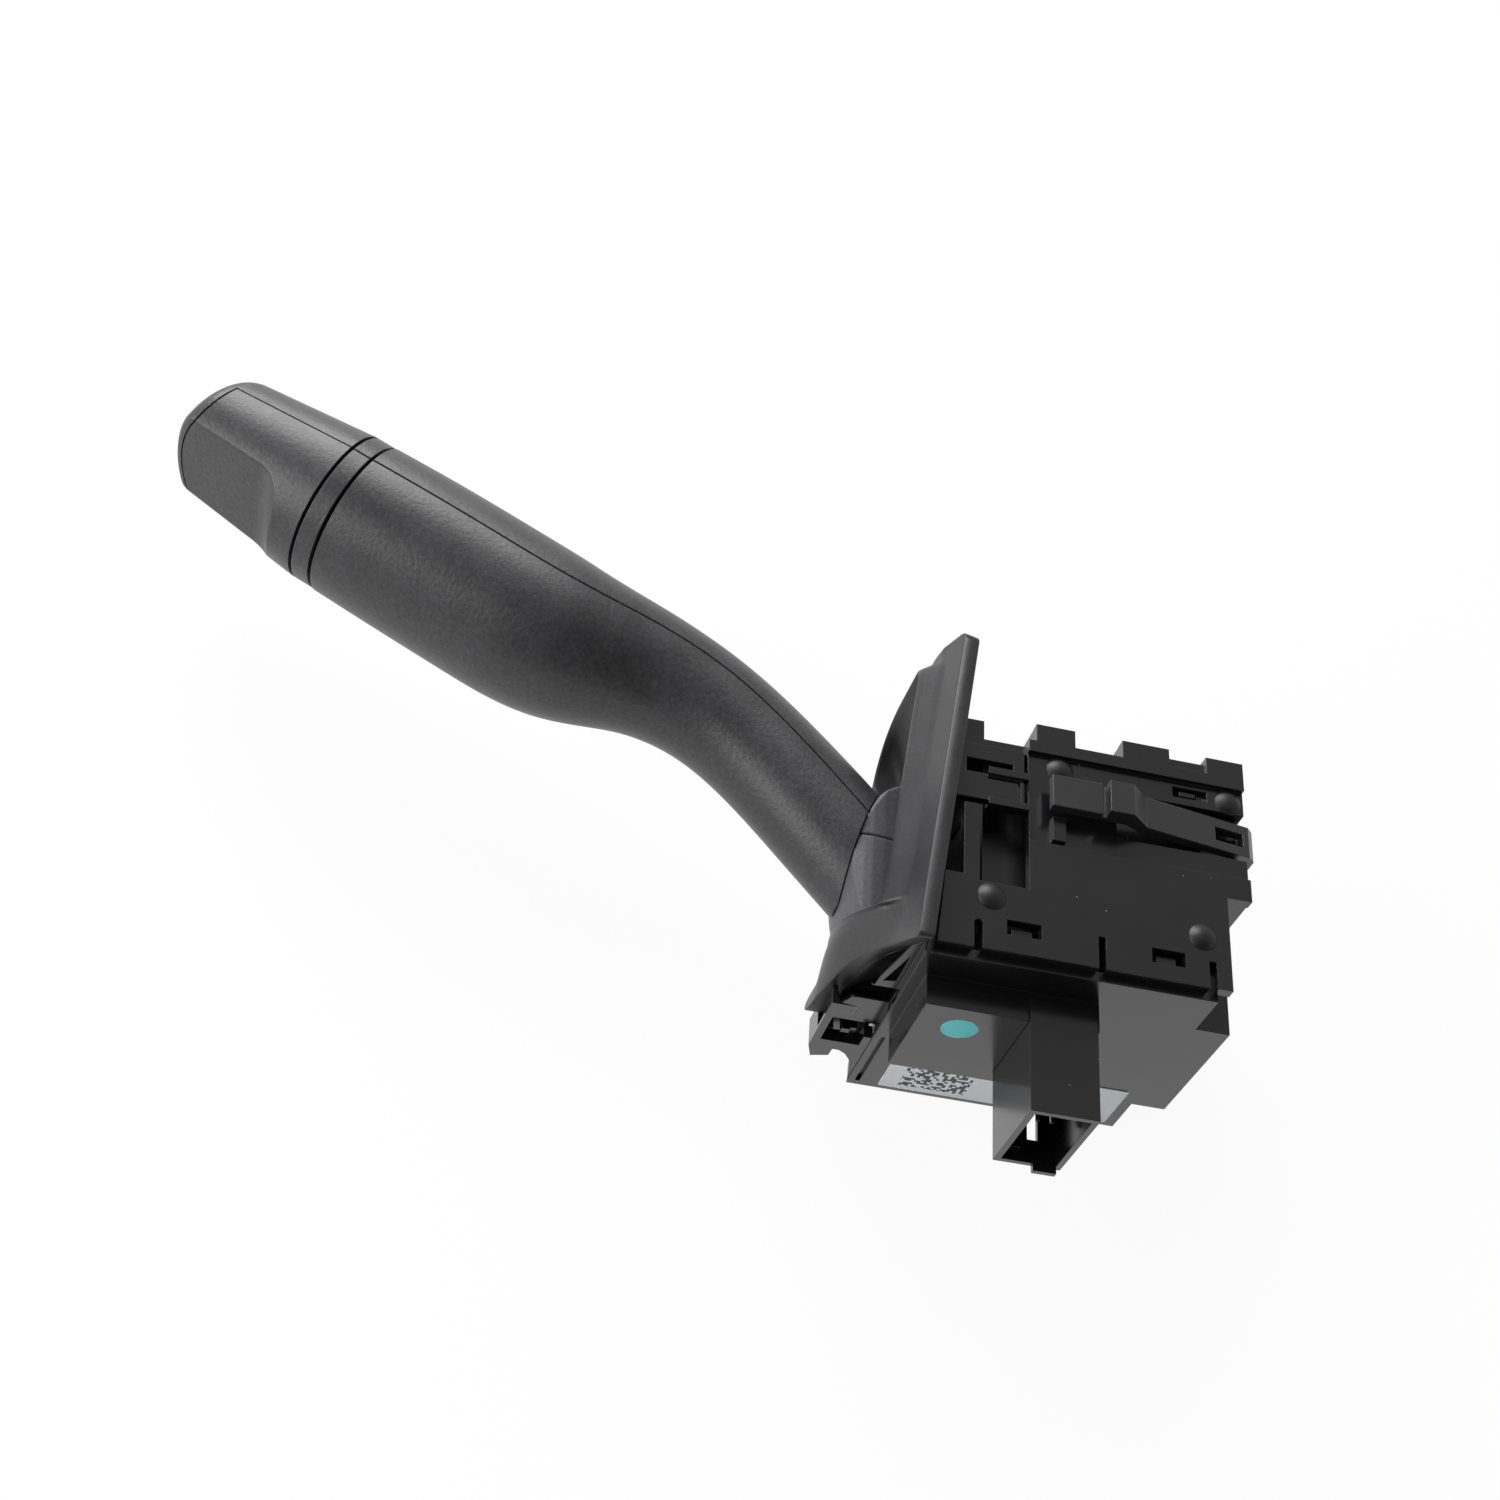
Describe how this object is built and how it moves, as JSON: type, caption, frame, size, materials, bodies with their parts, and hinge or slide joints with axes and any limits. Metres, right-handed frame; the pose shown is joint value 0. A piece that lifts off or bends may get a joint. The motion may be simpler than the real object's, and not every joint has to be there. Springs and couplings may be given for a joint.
{
  "type": "combination stalk switch",
  "caption": "Steering-column stalk switch: curved lever with rotary knob and ring on a gimbal in a black housing, with a bezel, a release latch and a connector socket.",
  "frame": {"origin": "centre of the housing's rear mounting face", "axes": "+Z is the normal of the domed cover, away from the mounting face; -X points along the stalk, +X is the way the switch slides into its bracket; -Y is the way the connector socket opens"},
  "size_m": [0.2008, 0.1283, 0.0564],
  "materials": {
    "stalk_plastic": "moulded, fine grain, matte charcoal",
    "collar_plastic": "moulded, fine grain, matte dark grey",
    "bezel_plastic": "moulded, satin charcoal",
    "housing_plastic": "moulded, glossy black",
    "mechanism_plastic": "moulded acetal, black",
    "steel": "ground steel",
    "tinned_copper": "tinned copper alloy, bright",
    "circuit_board": "green solder mask",
    "wire_insulation": "soft black insulation",
    "label_paper": "white coated label"
  },
  "bodies": {
    "root": {"housing_base": "housing_plastic", "front_cover": "housing_plastic", "cover_stakes": "housing_plastic", "cover_hooks": "housing_plastic", "connector_shroud": "housing_plastic", "terminal_pins": "tinned_copper", "circuit_board": "circuit_board", "contact_tracks": "tinned_copper", "pivot_frame": "mechanism_plastic", "detent_track": "mechanism_plastic", "slider_guide": "mechanism_plastic", "bezel": "bezel_plastic", "bezel_carrier": "housing_plastic", "label": "label_paper"},
    "yoke": {"gimbal_yoke": "mechanism_plastic", "pivot_pin": "steel", "turn_wiper": "tinned_copper", "detent_spring": "steel"},
    "plunger": {"detent_plunger": "steel"},
    "lever": {"lever_hub": "mechanism_plastic", "collar_upper": "collar_plastic", "collar_lower": "collar_plastic", "arm_rear_shell": "stalk_plastic", "arm_face_shell": "stalk_plastic", "arm_core": "mechanism_plastic", "wire_loom": "wire_insulation"},
    "slider": {"beam_slider": "mechanism_plastic"},
    "ring": {"ring_rear": "stalk_plastic", "ring_face": "stalk_plastic", "ring_carrier": "mechanism_plastic"},
    "knob": {"knob_rear_shell": "stalk_plastic", "knob_face_shell": "stalk_plastic", "knob_spindle": "mechanism_plastic"},
    "latch": {"release_latch": "housing_plastic"}
  },
  "joints": [
    {"name": "lever_up_down", "type": "hinge", "parent": "root", "child": "yoke", "pos_m": [-0.01, 0.001, 0.032], "axis": [0, 1, 0], "range_deg": [-7, 7]},
    {"name": "lever_pull", "type": "hinge", "parent": "yoke", "child": "lever", "pos_m": [-0.01, 0.001, 0.032], "axis": [0, 0, -1], "range_deg": [-4, 6], "stiffness_Nm_per_rad": 8},
    {"name": "beam_slide", "type": "slide", "parent": "root", "child": "slider", "axis": [0, -1, 0], "range_m": [-0.0013, 0.0019]},
    {"name": "detent_plunger_slide", "type": "slide", "parent": "yoke", "child": "plunger", "axis": [1, 0, 0], "range_m": [-0.001, 0], "stiffness_N_per_m": 800, "springref_m": 0.0015, "deforming": ["detent_spring"]},
    {"name": "ring_turn", "type": "hinge", "parent": "lever", "child": "ring", "pos_m": [-0.1325, 0.05915, 0.032], "axis": [-0.9033, 0.4289, 0], "range_deg": [-20, 20]},
    {"name": "knob_turn", "type": "hinge", "parent": "lever", "child": "knob", "pos_m": [-0.1325, 0.05915, 0.032], "axis": [-0.9033, 0.4289, 0], "range_deg": [-22, 22]},
    {"name": "latch_flex", "type": "hinge", "parent": "root", "child": "latch", "pos_m": [0.0332, 0.011, 0.0475], "axis": [0, -1, 0], "range_deg": [0, 2.5], "stiffness_Nm_per_rad": 8}
  ],
  "couplings": [
    {"joint": "beam_slide", "follows": "lever_pull", "m_per_rad": 0.018}
  ]
}
